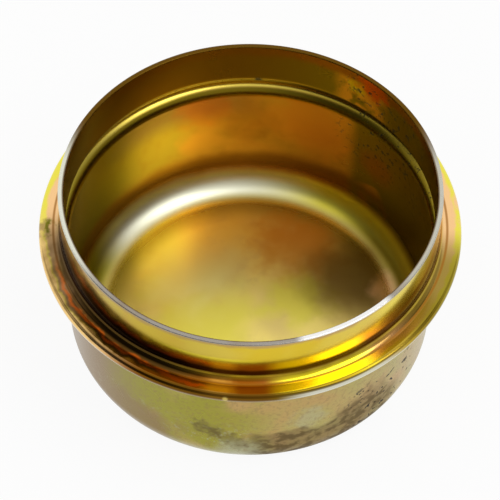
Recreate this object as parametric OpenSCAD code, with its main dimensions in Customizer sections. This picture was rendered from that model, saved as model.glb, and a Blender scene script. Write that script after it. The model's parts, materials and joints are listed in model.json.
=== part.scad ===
// Hub grease cap: one cup drawn from a single round blank of steel sheet and plated yellow.
// It stands on its closed end with the mouth up. The section below is the sheet itself, at one
// thickness all the way: floor, corner, bowl wall, folded double flange, and press-in collar.
// Sizes are in millimetres. The origin is the centre of the flat closed end, and +Z points to the mouth.

/* [Sheet] */
// Thickness of the sheet, the same in every wall, layer and bend
sheet_t = 0.9; // [0.6:0.05:1.2]
// Radius worn onto the two corners of the trimmed edge at the mouth
edge_r = 0.2; // [0.05:0.05:0.28]

/* [Collar] */
// Outside diameter of the collar that is pressed into the hub
collar_d = 64.5; // [30:0.5:100]
// Height of the collar, from the flange's upper face to the mouth
collar_h = 9.4; // [5:0.1:20]
// Radius on the outside where the collar turns out into the flange
collar_bend_r = 1.6; // [0.2:0.1:1.8]

/* [Flange] */
// How far the folded flange that stops against the hub stands out past the collar
flange_w = 3.75; // [2.8:0.05:8]
// Gap left between the two layers of the flange
fold_gap = 0.1; // [0.04:0.02:0.3]
// Radius on the outside where the flange's lower layer turns down into the bowl
bowl_bend_r = 1.4; // [0.5:0.1:1.6]

/* [Bowl] */
// How far the outside of the bowl wall lies inside the line of the collar
bowl_step = 0.45; // [0:0.05:6]
// Height of the bowl, from the closed end to the underside of the flange
bowl_h = 26.3; // [18:0.1:60]
// Outside radius of the corner between the bowl wall and the closed end
corner_r = 6.4; // [1.5:0.1:12]

/* [Hidden] */
$fn = 180;

collar_r = collar_d / 2;
flange_r = collar_r + flange_w;
bowl_r = collar_r - bowl_step;

// Heights of the flange's upper face and of the mouth above the closed end
flange_top = bowl_h + 2 * sheet_t + fold_gap;
mouth = flange_top + collar_h;

// Centre of each bend, as [radius, height]. The straight stretches beside it start level with it.
corner_at = [bowl_r - corner_r, corner_r];
bowl_bend_at = [bowl_r + bowl_bend_r, bowl_h - bowl_bend_r];
fold_at = [flange_r - sheet_t - fold_gap / 2, bowl_h + sheet_t + fold_gap / 2];
collar_bend_at = [collar_r + collar_bend_r, flange_top + collar_bend_r];

// Quarter turn of the sheet about a centre, counted from an angle, with its inner radius
module quarter_bend(centre, inner_r, from) {
    outer_r = inner_r + sheet_t;
    translate(centre) rotate(from) intersection() {
        difference() {
            circle(outer_r);
            circle(inner_r);
        }
        square(2 * outer_r);
    }
}

// Level stretch of the sheet between two radii, with its lower face at a height
module level(inner_r, outer_r, height) {
    translate([inner_r, height]) square([outer_r - inner_r, sheet_t]);
}

// Upright stretch of the sheet between two heights, with its outer face at a radius
module upright(outer_r, low, high) {
    translate([outer_r - sheet_t, low]) square([sheet_t, high - low]);
}

// Trimmed edge of the collar at the mouth, with both corners rounded
module mouth_edge() {
    inner_r = collar_r - sheet_t;
    translate([inner_r + edge_r, mouth - edge_r]) square([sheet_t - 2 * edge_r, edge_r]);
    for (r = [inner_r + edge_r, collar_r - edge_r])
        translate([r, mouth - edge_r]) circle(edge_r);
}

// Half of the sheet's section, followed from the axis out, up, round the fold and up to the mouth
module section() {
    level(0, corner_at[0], 0);
    quarter_bend(corner_at, corner_r - sheet_t, -90);
    upright(bowl_r, corner_at[1], bowl_bend_at[1]);
    quarter_bend(bowl_bend_at, bowl_bend_r, 90);
    level(bowl_bend_at[0], fold_at[0], bowl_h);
    quarter_bend(fold_at, fold_gap / 2, -90);
    quarter_bend(fold_at, fold_gap / 2, 0);
    level(collar_bend_at[0], fold_at[0], flange_top - sheet_t);
    quarter_bend(collar_bend_at, collar_bend_r, 180);
    upright(collar_r, collar_bend_at[1], mouth - edge_r);
    mouth_edge();
}

module grease_cap() {
    color([0.74, 0.60, 0.24]) rotate_extrude() section();
}

grease_cap();
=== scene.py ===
"""Looks of the hub grease cap: one drawn steel sheet with yellow chromate plating, and its studio."""

import json
import math

import bmesh
import bpy
from mathutils import Matrix, Vector


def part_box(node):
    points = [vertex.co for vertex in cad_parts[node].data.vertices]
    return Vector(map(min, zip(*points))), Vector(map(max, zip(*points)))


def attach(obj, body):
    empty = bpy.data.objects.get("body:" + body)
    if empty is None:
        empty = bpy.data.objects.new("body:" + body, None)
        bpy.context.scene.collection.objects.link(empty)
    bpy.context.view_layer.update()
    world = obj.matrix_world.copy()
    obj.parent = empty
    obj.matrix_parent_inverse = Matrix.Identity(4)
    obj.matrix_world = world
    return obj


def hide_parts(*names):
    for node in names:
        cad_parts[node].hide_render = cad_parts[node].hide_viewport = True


bl_info = {
    "name": "Hub Grease Cap",
    "version": (1, 0, 0),
    "blender": (4, 5, 0),
    "location": "View3D > Sidebar > Grease Cap",
    "description": "Adds a drawn steel grease cap with yellow chromate plating, and a studio to show it in",
    "category": "Object",
}

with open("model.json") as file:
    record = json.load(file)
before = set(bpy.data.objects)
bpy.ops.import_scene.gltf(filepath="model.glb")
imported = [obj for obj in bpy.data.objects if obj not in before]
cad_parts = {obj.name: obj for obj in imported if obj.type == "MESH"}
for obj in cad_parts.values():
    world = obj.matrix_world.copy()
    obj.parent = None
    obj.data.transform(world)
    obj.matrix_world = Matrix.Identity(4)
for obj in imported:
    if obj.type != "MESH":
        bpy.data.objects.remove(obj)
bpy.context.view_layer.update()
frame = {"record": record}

NODE = "grease_cap"
MM = 0.001

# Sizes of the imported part, in metres: its box, the collar's straight stretch and the flange's upper face
CAP_LOW, CAP_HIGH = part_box(NODE)
FLANGE_RADIUS = min(CAP_HIGH.x, CAP_HIGH.y, -CAP_LOW.x, -CAP_LOW.y)
MOUNTS = {mount["name"]: mount for mount in frame["record"]["mounts"]}
COLLAR_RADIUS, COLLAR_LENGTH = (MOUNTS["collar"]["dims"][name] * MM for name in ("r_mm", "length_mm"))
COLLAR_FOOT = MOUNTS["collar"]["pos_m"][2] - COLLAR_LENGTH / 2
FLANGE_TOP = MOUNTS["flange_seat"]["pos_m"][2]

# Fixed sizes of the studio, in metres and degrees. The sensor's width is in millimetres
SENSOR, CLIP = 36.0, (0.01, 10.0)
LAMP_ELEVATION, LAMP_DISTANCE, LAMP_SIZE = 57, 1.0, (0.45, 0.60)
CARD_BEARINGS, CARD_ELEVATIONS, CARD_DISTANCE = (-118, 118), (8, 66), 1.4
CARD_COLUMNS, CARD_ROWS, CARD_GLOW_TURN = 24, 8, -22
FLOOR_SIZE, FLOOR_DROP = (4, 4), 0.05 * MM

# Zones of the sheet's surface, in the order of its materials
OUTSIDE, EDGE, INSIDE = range(3)


def length(name, description, default):
    """A property that holds a length in metres."""
    return bpy.props.FloatProperty(
        name=name, description=description, default=default, min=0.0, unit="LENGTH", precision=5
    )


def colour(name, description, default):
    """A property that holds a linear colour."""
    return bpy.props.FloatVectorProperty(
        name=name, description=description, default=default, size=3, min=0.0, max=1.0, subtype="COLOR"
    )


def angle(name, description, degrees):
    """A property that holds an angle."""
    return bpy.props.FloatProperty(
        name=name, description=description, default=math.radians(degrees), subtype="ANGLE"
    )


def share(name, description, default, high=1.0):
    """A property that holds a plain number from nought up."""
    return bpy.props.FloatProperty(name=name, description=description, default=default, min=0.0, max=high)


class CapSizes(bpy.types.PropertyGroup):
    """Sizes of the sheet's section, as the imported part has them."""

    collar_radius: length("Collar Radius", "Outside radius of the collar", COLLAR_RADIUS)
    flange_radius: length("Flange Radius", "Outside radius of the folded flange", FLANGE_RADIUS)
    mouth: length("Mouth Height", "Height of the mouth above the closed end", CAP_HIGH.z)
    flange_top: length("Flange Height", "Height of the flange's upper face", FLANGE_TOP)
    sheet: length("Sheet Thickness", "Thickness of the sheet", 0.9 * MM)
    edge: length("Edge Radius", "Radius on the corners of the trimmed edge", 0.2 * MM)
    fold_gap: length("Fold Gap", "Gap between the two layers of the flange", 0.1 * MM)
    collar_bend: length("Collar Bend", "Outside radius between collar and flange", COLLAR_FOOT - FLANGE_TOP)
    bowl_bend: length("Bowl Bend", "Outside radius between flange and bowl", 1.4 * MM)
    bowl_step: length("Bowl Step", "How far the bowl lies inside the line of the collar", 0.45 * MM)
    corner: length("Corner Radius", "Outside radius of the corner at the closed end", 6.4 * MM)
    around: bpy.props.IntProperty(name="Steps Around", description="Faces round the cap", default=288, min=24)


class CapFinish(bpy.types.PropertyGroup):
    """Colours and surface of the plating, the bare edge and the dirt, some of them laid as painted shade and
    highlights.
    """

    gold: colour("Gold", "Yellow of the film on the flange", (0.76, 0.60, 0.11))
    # Also laid as a painted glint on the fold at the front
    sun: colour("Sun", "Light gold of the film on the floor inside", (1.0, 0.80, 0.22))
    cream: colour("Cream", "Pale gold at the left of the floor inside", (1.0, 0.92, 0.34))
    amber: colour("Amber", "Deep yellow of a thick film on the collar", (0.70, 0.50, 0.02))
    # Also laid as painted shade under and beside the crease, on the inner wall and on the corner at the right
    bronze: colour("Bronze", "Dark olive of the thickest film, inside the collar", (0.25, 0.18, 0.012))
    russet: colour("Russet", "Red-brown of the film by the mouth and in the bends", (0.34, 0.13, 0.012))
    copper: colour("Copper", "Orange of the film on the inner wall", (0.74, 0.36, 0.05))
    honey: colour("Honey", "Dull gold of the film on the inner wall", (0.45, 0.33, 0.04))
    scarlet: colour("Scarlet", "Red of a few streaks by the mouth and on the flange", (0.72, 0.13, 0.006))
    # Partly a painted highlight: it brightens the corner's highlight at the back left
    silver: colour("Silver", "Thin bright film in the corner inside", (0.82, 0.83, 0.66))
    # Near black, laid mostly as painted shade: low on the collar, on the flange at the front left, inside the
    # collar at the back left and along the back of the trimmed edge
    char: colour("Char", "Near black low on the collar and in other dark places", (0.13, 0.065, 0.006))
    taupe: colour("Taupe", "Greyed pink cloud on the floor inside", (0.60, 0.42, 0.18))
    # On the flange at the right, partly a painted highlight
    lemon: colour("Lemon", "Clear bright yellow on the flange and the collar", (0.98, 0.82, 0.03))
    ember: colour("Ember", "Red-brown of the flange at the front", (0.34, 0.10, 0.006))
    peach: colour("Peach", "Pinkish orange of the film on the flange", (0.93, 0.58, 0.27))
    leaf: colour("Leaf", "Yellow-green tint of the film", (0.84, 0.75, 0.085))
    olive: colour("Olive", "Dark green at the left inside and of a spot on the flange", (0.19, 0.19, 0.008))
    moss: colour("Moss", "Green of the film on the bowl", (0.31, 0.29, 0.022))
    umber: colour("Umber", "Brownish pink on the bowl and high on the inner wall", (0.27, 0.175, 0.07))
    rose: colour("Rose", "Greyed pink of the film on the bowl", (0.49, 0.32, 0.11))
    # Also laid as painted shade on the edge of the floor and the corner inside, at the back
    straw: colour("Straw", "Dull yellow of the film on the bowl", (0.44, 0.37, 0.11))
    haze: colour("Haze", "Greenish grey of thin patches on the bowl", (0.42, 0.42, 0.26))
    pale: colour("Pale", "Silver of a thin film on the folded edge and the trimmed edge", (0.74, 0.74, 0.62))
    steel: colour("Steel", "Steel of the trimmed edge, dulled", (0.36, 0.33, 0.29))
    # Painted highlight: bright steel laid on the trimmed edge at the front right
    edge_highlight: colour("Burnish", "Steel of the trimmed edge where it is lit bright", (0.90, 0.89, 0.86))
    grime: colour("Grime", "Dried grease and dust on the bowl", (0.12, 0.072, 0.008))
    # Dark specks in the dirt; also laid as painted shade on the flange at the front left
    pit_and_shade: colour("Pit", "Dark specks in the dirt", (0.020, 0.013, 0.008))
    gleam: colour("Gleam", "Colour of the inner plating's reflection at a slant", (0.95, 0.85, 0.52))
    polish: share("Roughness", "Roughness of clean plating", 0.24)
    ripple: share("Ripple", "Strength of the sheet's slight unevenness", 0.35)


class StudioLight(bpy.types.PropertyGroup):
    """Lamp, floor, surroundings and camera."""

    floor: colour("Floor", "Colour of the floor", (0.86, 0.86, 0.86))
    backdrop: share("Backdrop", "Share of the floor's white that camera and metal see in any light", 0.92)
    key_power: share("Key Power", "Power of the soft lamp at the right, in watts", 1.9, 1000.0)
    key_bearing: angle("Key Bearing", "Bearing of the lamp, from -Y towards +X", 62.0)
    world: share("World", "Strength of the plain surrounding light", 0.80, 10.0)
    dim: share("Dim Card", "Brightness of the card that reflections show round the cap", 0.08)
    glow: share("Card Glow", "Brightness of that card where it glows", 0.62)
    lens: bpy.props.FloatProperty(name="Lens", description="Focal length in millimetres", default=175.5)
    camera_distance: length("Camera Distance", "From the aim point to the camera", 0.4212)
    camera_elevation: angle("Camera Elevation", "Height of the camera as an angle", 52.85)
    camera_roll: angle("Camera Roll", "Turn of the camera about its view", 0.70)
    aim_height: length("Aim Height", "Height of the point the camera looks at", 20.26 * MM)


class Shade:
    """One shader socket. Arithmetic on it adds the Math node that it needs."""

    def __init__(self, recipe, socket):
        self.recipe = recipe
        self.socket = socket

    def math(self, operation, *values):
        """The result of a Math node on these values."""
        return self.recipe.node("ShaderNodeMath", {"operation": operation}, dict(enumerate(values)))

    def __add__(self, other):
        return self.math("ADD", self, other)

    def __radd__(self, other):
        return self.math("ADD", other, self)

    def __sub__(self, other):
        return self.math("SUBTRACT", self, other)

    def __rsub__(self, other):
        return self.math("SUBTRACT", other, self)

    def __mul__(self, other):
        return self.math("MULTIPLY", self, other)

    def __rmul__(self, other):
        return self.math("MULTIPLY", other, self)

    def __truediv__(self, other):
        return self.math("DIVIDE", self, other)

    def either(self, other):
        """The larger of two values, so that a mask covers what either of two covers."""
        return self.math("MAXIMUM", self, other)

    def rise(self, low, high):
        """Smooth step from 0 at low to 1 at high."""
        return self.recipe.node(
            "ShaderNodeMapRange", {"interpolation_type": "SMOOTHSTEP"},
            {"Value": self, "From Min": low, "From Max": high},
        )

    def fall(self, low, high):
        """Smooth step from 1 at low to 0 at high."""
        return 1 - self.rise(low, high)

    def between(self, low, high, soft):
        """1 from low to high, with a soft edge on both sides."""
        return self.rise(low - soft, low + soft) * self.fall(high - soft, high + soft)


class Recipe:
    """Builds one node tree."""

    def __init__(self, tree):
        self.tree = tree
        self.place = None

    def node(self, kind, settings=None, inputs=None, output=0):
        """Adds a node: first its settings, then the values or links of its sockets."""
        made = self.tree.nodes.new(kind)
        for key, value in (settings or {}).items():
            setattr(made, key, value)
        for key, value in (inputs or {}).items():
            if isinstance(value, Shade):
                self.tree.links.new(value.socket, made.inputs[key])
            else:
                made.inputs[key].default_value = value
        return Shade(self, made.outputs[output]) if len(made.outputs) else None

    def mix(self, factor, first, second):
        """Colour that goes from first to second."""
        first, second = (tint if isinstance(tint, Shade) else (*tint, 1.0) for tint in (first, second))
        return self.node("ShaderNodeMix", {"data_type": "RGBA"}, {"Factor": factor, 6: first, 7: second}, 2)

    def noise(self, size, detail=3.0, roughness=0.5, distortion=0.0, where=None):
        """Noise whose blobs are about size millimetres across."""
        return self.node("ShaderNodeTexNoise", {}, {
            "Vector": where or self.place, "Scale": 1 / (size * MM), "Detail": detail,
            "Roughness": roughness, "Distortion": distortion,
        })

    def shifted(self, offset, stretch=(1, 1, 1)):
        """The place on the surface, moved and stretched, for a pattern of its own."""
        inputs = {"Vector": self.place, "Location": offset, "Scale": stretch}
        return self.node("ShaderNodeMapping", {}, inputs)


def surface(name, build):
    """A material whose nodes are set up by build."""
    material = bpy.data.materials.new(name)
    material.use_nodes = True
    tree = material.node_tree
    tree.nodes.clear()
    recipe = Recipe(tree)
    recipe.place = recipe.node("ShaderNodeTexCoord", output=3)
    build(recipe)
    return material


def principled(recipe, fixed, painted):
    """The Principled shader with its even values and its painted sockets, linked to the output."""
    shader = recipe.node("ShaderNodeBsdfPrincipled", {}, {**fixed, **painted})
    recipe.node("ShaderNodeOutputMaterial", {}, {"Surface": shader})


def polar(bearing, radius, height):
    """Point at a bearing, counted from -Y towards +X, a radius and a height."""
    turn = math.radians(bearing)
    return Vector((math.sin(turn) * radius, -math.cos(turn) * radius, height))


def bearing_place(bearing, elevation, distance):
    """Point at a bearing, an elevation and a distance from the origin."""
    rise = math.radians(elevation)
    return polar(bearing, math.cos(rise) * distance, math.sin(rise) * distance)


class AxisPlace:
    """Where a point lies round the cap's axis: its height and radius in millimetres, and its bearing."""

    def __init__(self, recipe):
        self.recipe = recipe
        apart = recipe.node("ShaderNodeSeparateXYZ", {}, {0: recipe.place}).socket.node
        self.x, self.y, self.z = (Shade(recipe, apart.outputs[axis]) / MM for axis in "XYZ")
        square = self.x * self.x + self.y * self.y
        self.radius = square.math("SQRT", square)

    def facing(self, bearing, half_width, soft):
        """1 within half_width degrees of a bearing, counted from -Y towards +X, with a soft edge."""
        turn = math.radians(bearing)
        toward = (self.x * math.sin(turn) - self.y * math.cos(turn)) / self.radius
        outer, inner = min(half_width + soft, 180), max(half_width - soft, 0)
        return toward.rise(math.cos(math.radians(outer)), math.cos(math.radians(inner)))


class SheetPlace(AxisPlace):
    """Where a point lies on the cap's sheet. All lengths are in millimetres."""

    def __init__(self, recipe, sizes):
        super().__init__(recipe)
        self.floor_height = sizes.sheet / MM
        self.bowl_outside = (sizes.collar_radius - sizes.bowl_step) / MM
        self.bowl_inside = self.bowl_outside - sizes.sheet / MM
        self.collar_inside = (sizes.collar_radius - sizes.sheet) / MM

    def height(self, wander, size=6, offset=(0, 0, 0)):
        """Height, with an uneven wander."""
        sway = self.recipe.noise(size, 2.0, where=self.recipe.shifted(offset))
        return self.z + (sway - 0.5) * (2 * wander)

    def near(self, bearing, radius, height, reach, ragged=0.0):
        """1 close to a point of the sheet, 0 beyond reach. A ragged share of the reach roughens the edge."""
        inputs = {0: self.recipe.place, 1: polar(bearing, radius * MM, height * MM)}
        away = self.recipe.node("ShaderNodeVectorMath", {"operation": "DISTANCE"}, inputs, 1) / MM
        if ragged:
            away = away + (self.recipe.noise(reach / 2, 2.0) - 0.5) * (3 * ragged * reach)
        return away.fall(reach * 0.3, reach * 1.1)

    def on_floor(self, bearing, radius, reach, ragged):
        """Patch on the floor inside."""
        return self.near(bearing, radius, self.floor_height, reach, ragged)

    def on_wall(self, bearing, height, reach, ragged):
        """Patch on the bowl's wall inside."""
        return self.near(bearing, self.bowl_inside, height, reach, ragged)

    def on_mouth(self, bearing, height, reach, ragged):
        """Patch inside the collar."""
        return self.near(bearing, self.collar_inside, height, reach, ragged)

    def on_bowl(self, bearing, height, reach, ragged):
        """Patch on the bowl's wall outside."""
        return self.near(bearing, self.bowl_outside, height, reach, ragged)


class Film:
    """Tint of the plating, laid down colour over colour."""

    def __init__(self, recipe, tint):
        self.recipe = recipe
        self.tint = tint

    def lay(self, tint, mask):
        """Lays a tint over what is there, as far as the mask shows it."""
        self.tint = self.recipe.mix(mask, self.tint, tint)


def sheet_bump(recipe, ripple, grain):
    """Normal of a pressed sheet: slow ripples, and a fine grain. Both are given by their strength."""
    slow = recipe.noise(14, 0.0, where=recipe.shifted((0.3, 0.1, 0.7)))
    fine = recipe.noise(0.35, 2.0, where=recipe.shifted((0.9, 0.4, 0.2)))
    height = slow * (0.10 * ripple) + fine * grain
    return recipe.node("ShaderNodeBump", {}, {"Strength": 1.0, "Distance": 1 * MM, "Height": height})


# Tints. Patches and bands are placed by bearing in degrees, and by radius and height in millimetres

def flange_tint(place, finish, cloud, mottle, uneven):
    """Tint of the flange: gold and leaf, painted shade at the front left, lemon at the right that is partly a
    painted highlight, peach behind.
    """
    film = Film(place.recipe, finish.peach)
    film.lay(finish.gold, cloud.rise(0.56, 0.70) * 0.7)
    film.lay(finish.leaf, uneven.rise(34.5, 35.1))
    film.lay(finish.ember, place.facing(-18, 24, 10) * place.radius.rise(34.8, 35.2))
    film.lay(finish.peach, place.near(96, 34.6, 28, 5, 0.6) * mottle.rise(0.4, 0.6))
    film.lay(finish.olive, place.near(-87, 35.5, 28.1, 2.6, 0.6) * mottle.rise(0.36, 0.50))
    film.lay(finish.russet, place.facing(48, 13, 6) * (1 - 0.3 * cloud) * 0.8)
    film.lay(finish.ember, place.facing(-12, 24, 12))
    # Painted shade: near black on the inner part of the flange at the front left
    film.lay(finish.char, place.facing(-36, 20, 10) * uneven.fall(34.4, 35.4))
    film.lay(finish.peach, place.facing(-62, 24, 10) * uneven.rise(34.8, 35.2) * 0.8)
    film.lay(finish.bronze, place.facing(67, 14, 8) * 0.85)
    film.lay(finish.scarlet, place.facing(-16, 8, 4) * uneven.between(34.2, 34.8, 0.2))
    film.lay(finish.copper, place.near(-8, 34.8, 28.2, 3.4, 0.15) * 0.9)
    # Partly painted highlight: bright lemon where the flange shows the lamp's reflection
    film.lay(finish.lemon, place.facing(22, 13, 5))
    film.lay(finish.char, place.radius.rise(35.0, 35.4) * place.facing(2, 34, 12) * 0.9)
    return film.tint


def collar_tint(place, finish, cloud, drift):
    """Tint of the collar outside: amber with copper clouds, bronze at the left, rose at the mouth."""
    recipe = place.recipe
    film = Film(recipe, finish.amber)
    film.lay(finish.gold, drift.rise(0.45, 0.65) * 0.5)
    film.lay(finish.copper, cloud.rise(0.48, 0.70) * 0.35)
    film.lay(finish.rose, place.height(0.6, 3).rise(36.4, 37.3) * 0.9)
    film.lay(finish.bronze, place.facing(-66, 20, 12) * place.z.fall(34, 36.5) * 0.8)
    film.lay(finish.bronze, place.facing(-36, 24, 16) * (0.25 + 0.2 * cloud))
    film.lay(finish.lemon, place.facing(-16, 14, 8) * place.z.between(31.4, 33.4, 0.5) * 0.8)
    film.lay(finish.lemon, place.facing(54, 11, 6) * place.z.rise(32.4, 33.6) * 0.6)
    streaks = recipe.noise(1.4, 3.0, 0.6, 0.3, recipe.shifted((0, 0, 0), (1, 1, 3)))
    film.lay(finish.russet, streaks.rise(0.52, 0.66) * place.facing(-66, 16, 8))
    return film.tint


def bowl_tint(place, finish, cloud, drift, side):
    """Tint of the bowl outside: rose and straw, umber at the left, moss at the front, haze low down."""
    recipe = place.recipe
    film = Film(recipe, finish.rose)
    film.lay(finish.straw, cloud.rise(0.30, 0.70))
    film.lay(finish.umber, place.facing(-57, 24, 12) * side)
    film.lay(finish.pale, place.facing(27, 12, 6) * place.z.rise(21, 25) * 0.6)
    film.lay(finish.moss, place.facing(-21, 19, 14) * side * (drift + cloud).rise(0.66, 1.04) * 0.9)
    film.lay(finish.haze, place.on_bowl(19, 13.6, 3.6, 0.5) * 0.45)
    film.lay(finish.haze, place.on_bowl(-2, 5.5, 5.0, 0.3) * 0.8)
    film.lay(finish.haze, place.height(1).fall(2, 7) * 0.5)
    specks = recipe.noise(0.7, 3.0, 0.6, 0, recipe.shifted((0.8, 0.2, 0.6)))
    film.lay(finish.umber, specks.rise(0.48, 0.66) * 0.35)
    scuffs = recipe.noise(0.9, 4.0, 0.65, 0.2, recipe.shifted((0.1, 0.6, 0.2))).rise(0.56, 0.64)
    film.lay(finish.haze, scuffs * place.facing(-26, 26, 12) * place.height(2).fall(9, 15) * side * 0.5)
    film.lay(finish.umber, place.on_bowl(-38, 5, 11, 0.4) * 0.85)
    hem = recipe.mix(place.facing(-13, 24, 12) * 0.9, finish.pale, finish.umber)
    film.lay(hem, place.radius.rise(34.9, 35.5))
    return film.tint


def foot_shade(film, place, finish, uneven):
    """Lays painted shade in the bend between flange and collar and on the flange at the front left, and a
    scarlet streak beside it, on a film.
    """
    film.lay(finish.russet, place.radius.between(33.3, 33.7, 0.15) * place.z.fall(28.6, 29) * 0.8)
    # Painted shade: near black in the bend and low on the collar, strongest at the front
    shade = place.height(0.3, 4).between(28.9, 30.5, 0.5)
    film.lay(finish.char, shade * (0.45 + 0.5 * place.facing(-8, 62, 20)))
    # Painted shade: more near black low on the collar at the front left
    foot = place.height(0.6, 3).between(28.1, 31.8, 0.6) * place.facing(-54, 30, 8)
    film.lay(finish.char, foot * 0.85)
    # Painted shade: a darker brown-black on the flange at the front left
    flange_shade = place.facing(-52, 34, 10) * uneven.fall(34.5, 35.2) * place.z.between(28.1, 30, 0.1)
    film.lay(finish.pit_and_shade, flange_shade * 0.6)
    streak = place.facing(-44, 26, 8) * uneven.between(33.8, 34.2, 0.35) * place.z.rise(28, 28.1)
    film.lay(finish.scarlet, streak * 0.65)


def bowl_dirt(place, side):
    """Mask of the dried dirt on the bowl: a low band, a heap at the right and a trail to the left."""
    recipe = place.recipe
    low = place.height(2.5, 5, (0.4, 0, 0)).fall(10, 11.6)
    zone = place.facing(26, 24, 5) * low * side
    zone = zone.either(place.on_bowl(38, 8.8, 7.0, 0.4))
    trail = ((-14, 11.8), (-10, 10.8), (-6, 9.4), (-2, 8.0))
    for bearing, height in trail:
        zone = zone.either(place.on_bowl(bearing, height, 2.3, 0.5) * 0.8)
    grains = recipe.noise(2.4, 5.0, 0.6, 0, recipe.shifted((0.3, 0.3, 0.3), (1, 1, 1.7)))
    return zone * (0.50 + 0.50 * grains.rise(0.41, 0.58))


def outside_plating(sizes, finish):
    """Plating outside: amber collar, mottled flange, duller pink, green and straw bowl, and dirt, with
    painted shade low on the collar and a painted highlight and glint on the fold.
    """

    def build(recipe):
        place = SheetPlace(recipe, sizes)
        cloud = recipe.noise(7, 3.0, 0.5, 0.3)
        drift = recipe.noise(16, 2.0, 0.5, 0.2, recipe.shifted((0.2, 0.5, 0.1)))
        mottle = recipe.noise(2.6, 3.0, 0.5, 0.2, recipe.shifted((0.5, 0.1, 0.9)))
        uneven = place.radius + (mottle + cloud - 1) * 1.6
        side = place.radius.rise(22, 27)

        film = Film(recipe, flange_tint(place, finish, cloud, mottle, uneven))
        film.lay(collar_tint(place, finish, cloud, drift), place.z.rise(28.4, 29.4))
        foot_shade(film, place, finish, uneven)
        film.lay(bowl_tint(place, finish, cloud, drift, side), place.z.fall(26.9, 27.5))
        # Painted highlight: the pale of the fold reaches higher at the front right
        fold_highlight = place.facing(27, 14, 6) * place.radius.rise(35.5, 35.8) * place.z.fall(27.6, 28.0)
        film.lay(finish.pale, fold_highlight * 0.8)
        # Painted glint: a small bright gold spot on the fold at the front
        film.lay(finish.sun, place.near(-6, 35.9, 27.4, 0.6) * 0.45)

        dirt = bowl_dirt(place, side)
        film.lay(finish.grime, dirt * 0.92)
        pits = recipe.noise(1.5, 2.0, 0.6, 0.3, recipe.shifted((0.7, 0.7, 0))).rise(0.59, 0.63)
        pits = pits * place.facing(46, 13, 5) * place.z.fall(14, 17) * side
        film.lay(finish.pit_and_shade, pits)
        crust = side * place.facing(35, 12, 6) * place.height(0.5, 2).between(0.6, 4, 0.5)
        film.lay(finish.pit_and_shade, crust * 0.7)

        # The bowl is duller than the flange and the collar, and its dirt is duller still
        clean = finish.polish - place.z.rise(26, 28) * 0.12 + drift * 0.06
        principled(
            recipe,
            {"Specular IOR Level": 0.3},
            {
                "Base Color": film.tint,
                "Metallic": 1 - pits.either(dirt * 0.8),
                "Roughness": clean + (dirt + pits) * 0.30,
                "Normal": sheet_bump(recipe, finish.ripple, 0.0015),
            },
        )

    return surface("chromate_outside", build)


def floor_tint(place, finish, mottle):
    """Tint of the floor inside: gold with leaf and cream patches, copper and near black at the right, painted
    shade at the back edge.
    """
    recipe = place.recipe
    veil = recipe.noise(10, 1.0, 0.4, 0.0, recipe.shifted((0.1, 0.8, 0.3)))
    film = Film(recipe, finish.sun)
    film.lay(finish.taupe, veil.rise(0.34, 0.72) * 0.45)
    film.lay(finish.taupe, mottle.rise(0.48, 0.74) * 0.2)
    film.lay(finish.leaf, place.on_floor(-80, 9, 14, 0.4) * 0.8)
    film.lay(finish.cream, place.on_floor(-136, 16, 12.5, 0.3) * 0.9)
    film.lay(finish.leaf, place.on_floor(111, 9, 8, 0.4) * 0.8)
    # Painted shade: straw dims the floor's edge at the back, below the corner's highlight
    film.lay(finish.straw, place.facing(-170, 64, 24) * place.radius.rise(21, 25) * 0.8)
    film.lay(finish.copper, place.on_floor(153, 18, 9.5, 0.4) * 0.75)
    film.lay(finish.char, place.on_floor(114, 20.5, 11.5, 0.15) * 0.78)
    film.lay(finish.peach, place.on_floor(103, 26.2, 4.8, 0.2))
    return film.tint


def wall_tint(place, finish, cloud, drift, mottle):
    """Tint of the bowl's wall inside: copper and honey, olive at the left, bronze as painted shade at the
    right.
    """
    film = Film(place.recipe, finish.copper)
    film.lay(finish.honey, place.on_wall(-142, 19, 17, 0.1))
    film.lay(finish.honey, cloud.rise(0.48, 0.66) * 0.35)
    film.lay(finish.russet, mottle.rise(0.50, 0.72) * 0.2)
    film.lay(finish.umber, place.facing(-150, 28, 12) * place.height(1.5).rise(18, 23) * 0.8)
    film.lay(finish.copper, place.on_wall(-164, 13.5, 6, 0.3) * 0.8)
    film.lay(finish.scarlet, place.on_wall(-164, 22.5, 6, 0.3) * 0.35)
    film.lay(finish.russet, place.on_wall(180, 18, 8, 0.3) * 0.45)
    blaze = place.on_wall(160, 21, 9, 0.3)
    film.lay(finish.copper, blaze * 0.8)
    film.lay(finish.scarlet, blaze * 0.2)
    film.lay(finish.olive, place.facing(-98, 28, 16) * 0.9)
    film.lay(finish.russet, place.height(1.5, 8).fall(8, 11) * 0.8)
    # Painted shade: dark olive on the inner wall at the right
    shade = place.facing(108, 36, 3) * (drift + cloud).rise(0.70, 0.90)
    film.lay(finish.bronze, shade.either(place.facing(100, 26, 12)))
    film.lay(finish.russet, place.on_wall(133, 17, 5, 0.2) * 0.7)
    return film.tint


def corner_tint(place, finish):
    """Tint of the corner inside: silver at the back left, partly a painted highlight, leaf beyond, painted
    shade at both sides and along its lower edge at the back.
    """
    film = Film(place.recipe, finish.leaf)
    # Partly painted highlight: bright silver where the corner's highlight is strongest
    film.lay(finish.silver, place.facing(-152, 38, 20))
    # Painted shade: straw along the corner's lower edge at the back, dark olive at the right and moss at the
    # left
    film.lay(finish.straw, place.facing(160, 40, 16) * place.radius.fall(26.6, 28.4) * 0.7)
    film.lay(finish.bronze, place.facing(105, 30, 14) * place.radius.fall(28, 30))
    film.lay(finish.moss, place.facing(-94, 22, 12))
    return film.tint


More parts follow.
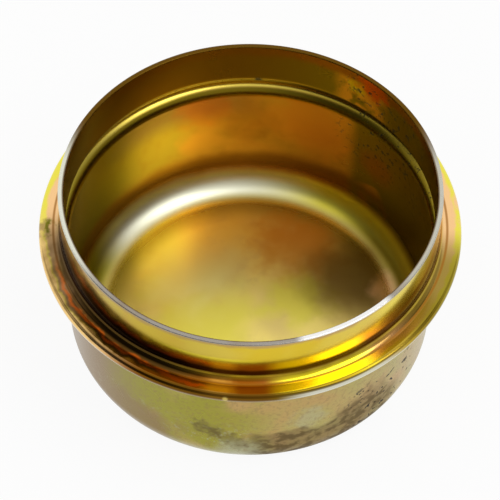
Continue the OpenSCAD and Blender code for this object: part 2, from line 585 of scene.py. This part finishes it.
def mouth_tint(place, finish, mottle):
    """Tint inside the collar: bronze, painted shade at the back left, a scorched orange patch at the back
    right.
    """
    film = Film(place.recipe, finish.bronze)
    film.lay(finish.copper, place.facing(142, 8, 4) * mottle.rise(0.30, 0.55))
    film.lay(finish.amber, place.on_mouth(144, 34.6, 2.6, 0.5))
    film.lay(finish.russet, place.height(0.8, 5).rise(34.8, 36.4))
    # Painted shade: near black inside the collar at the back left
    film.lay(finish.char, place.facing(-146, 42, 24) * 0.88)
    film.lay(finish.scarlet, place.on_mouth(138, 36.4, 4.0, 0.5))
    return film.tint


def crease_tint(place, finish):
    """Tint of the bends beside the crease inside, which catch the light, with painted shade at both sides
    where their highlight fades.
    """
    film = Film(place.recipe, finish.gold)
    # Painted shade: dark olive at the right and at the left of the crease
    film.lay(finish.bronze, place.facing(118, 44, 18) * 0.85)
    film.lay(finish.bronze, place.facing(-90, 26, 14) * 0.8)
    return film.tint


def inside_plating(sizes, finish):
    """Plating inside: bronze collar, copper and gold wall, silver corner, gold floor, dark specks, with
    painted shade and painted highlights among the tints.
    """

    def build(recipe):
        place = SheetPlace(recipe, sizes)
        cloud = recipe.noise(9, 3.0, 0.5, 0.3, recipe.shifted((0.1, 0.8, 0.3)))
        drift = recipe.noise(20, 2.0, 0.5, 0.2, recipe.shifted((0.6, 0.2, 0.4)))
        mottle = recipe.noise(2.4, 3.0, 0.5, 0.1, recipe.shifted((0.4, 0.3, 0.9)))
        corner = place.radius.rise(25.6, 28.4) * place.height(0.4).fall(3.2, 6.0)
        flat = place.z.fall(1, 3) * place.radius.fall(22, 26)

        film = Film(recipe, floor_tint(place, finish, mottle))
        film.lay(wall_tint(place, finish, cloud, drift, mottle), place.z.rise(1.5, 5.5))
        film.lay(corner_tint(place, finish), corner)
        film.lay(mouth_tint(place, finish, mottle), place.z.rise(28.6, 29.6))
        film.lay(crease_tint(place, finish), place.z.between(26.6, 29.2, 0.3))
        # Painted shade: a dark olive band just under the crease
        film.lay(finish.bronze, place.z.between(25.3, 26.7, 0.25))

        specks = recipe.noise(1.1, 3.0, 0.6, 0.3).rise(0.58, 0.66) * place.facing(122, 24, 8)
        specks = specks * place.z.rise(14, 20)
        specks = specks.either(place.on_mouth(178, 28.9, 0.9, 0.3))
        film.lay(finish.pit_and_shade, specks)
        principled(
            recipe,
            {"Specular IOR Level": 0.3, "Specular Tint": (*finish.gleam, 1.0)},
            {
                "Base Color": film.tint,
                "Metallic": 1 - specks * 0.8,
                "Roughness": finish.polish + corner * 0.10 + cloud * 0.05 + flat * 0.06,
                "Normal": sheet_bump(recipe, finish.ripple, 0.0006),
            },
        )

    return surface("chromate_inside", build)


def trimmed_edge(finish):
    """Steel of the trimmed edge: dull, with shear marks, painted shade along the back and a painted highlight
    along one stretch at the front right.
    """

    def build(recipe):
        place = AxisPlace(recipe)
        marks = recipe.noise(0.6, 3.0, 0.6)
        film = Film(recipe, finish.steel)
        film.lay(finish.umber, recipe.noise(5, 2.0).rise(0.45, 0.7) * 0.4)
        film.lay(finish.pale, place.facing(-84, 26, 10))
        film.lay(finish.pale, place.facing(80, 26, 10) * 0.5)
        # Painted shade: near black along the back of the edge
        film.lay(finish.char, place.facing(180, 72, 10))
        film.lay(finish.char, place.radius.fall(31.50, 31.68) * 0.8)
        # Painted highlight: bright steel on the shear marks at the front right
        film.lay(finish.edge_highlight, place.facing(30, 15, 2) * marks.rise(0.20, 0.34))
        principled(
            recipe,
            {"Specular IOR Level": 0.5},
            {
                "Base Color": film.tint,
                "Metallic": 1.0,
                "Roughness": 0.20 + marks * 0.16,
                "Normal": recipe.node("ShaderNodeBump", {}, {"Distance": 0.05 * MM, "Height": marks}),
            },
        )

    return surface("trimmed_steel_edge", build)


def arc(centre, radius, start, end, steps, zone):
    """Points of a round stretch of the outline, as place, normal and zone. Angles are in degrees.
    A negative radius is a hollow bend, whose surface looks at its centre."""
    points = []
    for step in range(steps + 1):
        turn = math.radians(start + (end - start) * step / steps)
        along = Vector((math.cos(turn), math.sin(turn)))
        at = Vector(centre) + abs(radius) * along
        points.append((at, along * math.copysign(1, radius), zone))
    return points


def sheet_outline(sizes):
    """Outline of the sheet's half section, from the axis outside and back to the axis inside."""
    bowl_radius = sizes.collar_radius - sizes.bowl_step
    fold_radius = sizes.sheet + sizes.fold_gap / 2
    bowl_height = sizes.flange_top - 2 * fold_radius
    corner = (bowl_radius - sizes.corner, sizes.corner)
    bowl_bend = (bowl_radius + sizes.bowl_bend, bowl_height - sizes.bowl_bend)
    fold = (sizes.flange_radius - fold_radius, bowl_height + fold_radius)
    collar_bend = (sizes.collar_radius + sizes.collar_bend, sizes.flange_top + sizes.collar_bend)
    rim = sizes.mouth - sizes.edge
    return [
        (Vector((0, 0)), Vector((0, -1)), OUTSIDE),
        *arc(corner, sizes.corner, -90, 0, 18, OUTSIDE),
        *arc(bowl_bend, -sizes.bowl_bend, 180, 90, 10, OUTSIDE),
        *arc(fold, fold_radius, -90, 90, 20, OUTSIDE),
        *arc(collar_bend, -sizes.collar_bend, 270, 180, 12, OUTSIDE),
        *arc((sizes.collar_radius - sizes.edge, rim), sizes.edge, 0, 90, 6, EDGE),
        *arc((sizes.collar_radius - sizes.sheet + sizes.edge, rim), sizes.edge, 90, 180, 6, EDGE),
        *arc(collar_bend, sizes.collar_bend + sizes.sheet, 180, 270, 14, INSIDE),
        *arc(fold, -sizes.fold_gap / 2, 90, -90, 8, INSIDE),
        *arc(bowl_bend, sizes.bowl_bend + sizes.sheet, 90, 180, 14, INSIDE),
        *arc(corner, sizes.sheet - sizes.corner, 0, -90, 18, INSIDE),
        (Vector((0, sizes.sheet)), Vector((0, 1)), INSIDE),
    ]


def to_data(name, mesh, materials):
    """Blender's mesh of a bmesh, which is freed, with its materials."""
    data = bpy.data.meshes.new(name)
    mesh.to_mesh(data)
    mesh.free()
    for material in materials:
        data.materials.append(material)
    return data


def in_scene(name, data):
    """A new object of the scene."""
    made = bpy.data.objects.new(name, data)
    bpy.context.scene.collection.objects.link(made)
    return made


def revolve(name, outline, around, materials):
    """Mesh of an outline turned round Z, with the outline's own normals. Its ends lie on the axis."""
    mesh = bmesh.new()
    rings, normals = [], []
    for at, normal, _ in outline:
        ring = []
        for step in range(1 if at.x == 0 else around):
            turn = Matrix.Rotation(2 * math.pi * step / around, 3, "Z")
            ring.append(mesh.verts.new(turn @ Vector((at.x, 0, at.y))))
            normals.append(turn @ Vector((normal.x, 0, normal.y)))
        rings.append(ring)
    for low, high, point, after in zip(rings, rings[1:], outline, outline[1:]):
        for step in range(around):
            following = (step + 1) % around
            corners = [low[step % len(low)], low[following % len(low)]]
            corners += [high[following % len(high)], high[step % len(high)]]
            face = mesh.faces.new(list(dict.fromkeys(corners)))
            face.smooth = True
            face.material_index = point[2] if after[2] == EDGE else after[2]
    data = to_data(name, mesh, materials)
    data.normals_split_custom_set_from_vertices(normals)
    return in_scene(name, data)


class MESH_OT_add_grease_cap(bpy.types.Operator):
    """Add the grease cap's sheet, from the closed end round the folded flange to the mouth"""

    bl_idname = "mesh.add_grease_cap"
    bl_label = "Add Grease Cap"

    def execute(self, context):
        sizes, finish = context.scene.cap_sizes, context.scene.cap_finish
        materials = outside_plating(sizes, finish), trimmed_edge(finish), inside_plating(sizes, finish)
        piece = revolve("grease_cap_sheet", sheet_outline(sizes), sizes.around, materials)
        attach(piece, "root")
        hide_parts(NODE)
        return {"FINISHED"}


def floor_panel(name, size, material):
    """A flat rectangle just under the cap."""
    mesh = bmesh.new()
    bmesh.ops.create_grid(mesh, x_segments=1, y_segments=1, size=0.5)
    bmesh.ops.scale(mesh, vec=(*size, 1), verts=mesh.verts)
    made = in_scene(name, to_data(name, mesh, [material]))
    made.location.z = -FLOOR_DROP


def even_steps(ends, count):
    """Values from one end to the other, in count steps."""
    return [ends[0] + (ends[1] - ends[0]) * step / count for step in range(count + 1)]


def sky_card(name, bearings, elevations, material):
    """A card bent round the cap, between two bearings and two elevations. Only reflections show it."""
    mesh = bmesh.new()
    columns, rows = even_steps(bearings, CARD_COLUMNS), even_steps(elevations, CARD_ROWS)
    grid = [[mesh.verts.new(bearing_place(column, row, CARD_DISTANCE)) for column in columns] for row in rows]
    for low, high in zip(grid, grid[1:]):
        for corners in zip(low, low[1:], high[1:], high):
            mesh.faces.new(corners)
    card = in_scene(name, to_data(name, mesh, [material]))
    card.visible_camera = card.visible_diffuse = card.visible_shadow = False


def soft_lamp(name, place, size, power, height):
    """A rectangular soft lamp that looks at the middle of the cap's height."""
    data = bpy.data.lights.new(name, "AREA")
    data.shape = "RECTANGLE"
    data.size, data.size_y = size
    data.energy = power
    lamp = in_scene(name, data)
    lamp.location = Vector((0, 0, height / 2)) + place
    lamp.rotation_mode = "QUATERNION"
    lamp.rotation_quaternion = place.to_track_quat("Z", "Y")


def seen_directly(recipe):
    """1 for the rays of the camera, of reflections and of clear things."""
    paths = recipe.node("ShaderNodeLightPath").socket.node.outputs
    rays = ("Camera", "Glossy", "Transmission")
    camera, glossy, clear = (Shade(recipe, paths[f"Is {ray} Ray"]) for ray in rays)
    return camera.either(glossy).either(clear)


def floor_paper(light):
    """White paper that keeps a soft part of the cap's shadow."""

    def build(recipe):
        fibre = recipe.noise(2, 3.0)
        paper = recipe.node("ShaderNodeBsdfDiffuse", {}, {"Color": (*light.floor, 1.0), "Roughness": 0.8})
        white = recipe.node("ShaderNodeEmission", {}, {"Color": (1, 1, 1, 1), "Strength": 1.0})
        part = seen_directly(recipe) * (light.backdrop + (fibre - 0.5) * 0.01)
        both = recipe.node("ShaderNodeMixShader", {}, {0: part, 1: paper, 2: white})
        recipe.node("ShaderNodeOutputMaterial", {}, {"Surface": both})

    return surface("white_paper", build)


def card_height(elevation):
    """Height in millimetres of the card's points at an elevation."""
    return CARD_DISTANCE / MM * math.sin(math.radians(elevation))


def dim_card(light):
    """A dim card that is brighter beside the lamp, low down behind the cap, and towards its upper edge."""

    def build(recipe):
        place = AxisPlace(recipe)
        glow = place.facing(math.degrees(light.key_bearing) + CARD_GLOW_TURN, 46, 40)
        back = place.facing(180, 90, 14) * place.z.fall(card_height(38), card_height(50))
        top = place.z.rise(card_height(48), card_height(66))
        level = light.dim + glow.either(back) * (light.glow - light.dim)
        level = level + top * (1 - level)
        card = recipe.node("ShaderNodeEmission", {}, {"Color": (1, 0.96, 0.90, 1), "Strength": level})
        recipe.node("ShaderNodeOutputMaterial", {}, {"Surface": card})

    return surface("dim_card", build)


def plain_world(strength):
    """Even light all round, which camera and metal see as white."""
    world = bpy.data.worlds.new("plain_white")
    world.use_nodes = True
    world.node_tree.nodes.clear()
    recipe = Recipe(world.node_tree)
    level = strength + seen_directly(recipe) * (1 - strength)
    sky = recipe.node("ShaderNodeBackground", {}, {"Color": (1, 1, 1, 1), "Strength": level})
    recipe.node("ShaderNodeOutputWorld", {}, {"Surface": sky})
    bpy.context.scene.world = world


def photo_camera(light):
    """The camera at the photograph's angle, distance and framing."""
    data = bpy.data.cameras.new("photo_camera")
    data.lens = light.lens
    data.sensor_width = SENSOR
    data.clip_start, data.clip_end = CLIP
    camera = in_scene("photo_camera", data)
    back = bearing_place(0, math.degrees(light.camera_elevation), 1)
    turn = back.to_track_quat("Z", "Y").to_matrix() @ Matrix.Rotation(light.camera_roll, 3, "Z")
    aim = Vector((0, 0, light.aim_height))
    camera.matrix_world = Matrix.Translation(aim + back * light.camera_distance) @ turn.to_4x4()
    bpy.context.scene.camera = camera


class SCENE_OT_add_cap_studio(bpy.types.Operator):
    """Add the floor, the lamp, the card, the world and the camera"""

    bl_idname = "scene.add_cap_studio"
    bl_label = "Add Studio"

    def execute(self, context):
        light, height = context.scene.studio_light, context.scene.cap_sizes.mouth
        floor_panel("floor", FLOOR_SIZE, floor_paper(light))
        lamp_place = bearing_place(math.degrees(light.key_bearing), LAMP_ELEVATION, LAMP_DISTANCE)
        soft_lamp("key_lamp", lamp_place, LAMP_SIZE, light.key_power, height)
        sky_card("surround_card", CARD_BEARINGS, CARD_ELEVATIONS, dim_card(light))
        plain_world(light.world)
        photo_camera(light)
        context.scene.view_settings.view_transform = "Standard"
        return {"FINISHED"}


class VIEW3D_PT_grease_cap(bpy.types.Panel):
    """Sizes, finish and light of the grease cap"""

    bl_idname = "VIEW3D_PT_grease_cap"
    bl_label = "Grease Cap"
    bl_space_type = "VIEW_3D"
    bl_region_type = "UI"
    bl_category = "Grease Cap"

    def draw(self, context):
        for group, kind, operator in GROUPS:
            box = self.layout.box()
            for name in kind.__annotations__:
                box.prop(getattr(context.scene, group), name)
            if operator:
                box.operator(operator)


# Settings on the scene: name, class, and the operator that uses them, if the panel shows one
GROUPS = (
    ("cap_sizes", CapSizes, "mesh.add_grease_cap"),
    ("cap_finish", CapFinish, None),
    ("studio_light", StudioLight, "scene.add_cap_studio"),
)
OPERATORS = (MESH_OT_add_grease_cap, SCENE_OT_add_cap_studio)
CLASSES = (CapSizes, CapFinish, StudioLight, *OPERATORS, VIEW3D_PT_grease_cap)


def register():
    """Registers the classes, and hangs the settings on the scene."""
    for cls in CLASSES:
        bpy.utils.register_class(cls)
    for group, kind, _ in GROUPS:
        setattr(bpy.types.Scene, group, bpy.props.PointerProperty(type=kind))


def unregister():
    """Takes away what register added."""
    for group, _, _ in GROUPS:
        delattr(bpy.types.Scene, group)
    for cls in reversed(CLASSES):
        bpy.utils.unregister_class(cls)


def main():
    """Builds the cap and its studio."""
    register()
    bpy.ops.mesh.add_grease_cap()
    bpy.ops.scene.add_cap_studio()


if __name__ == "__main__":
    main()
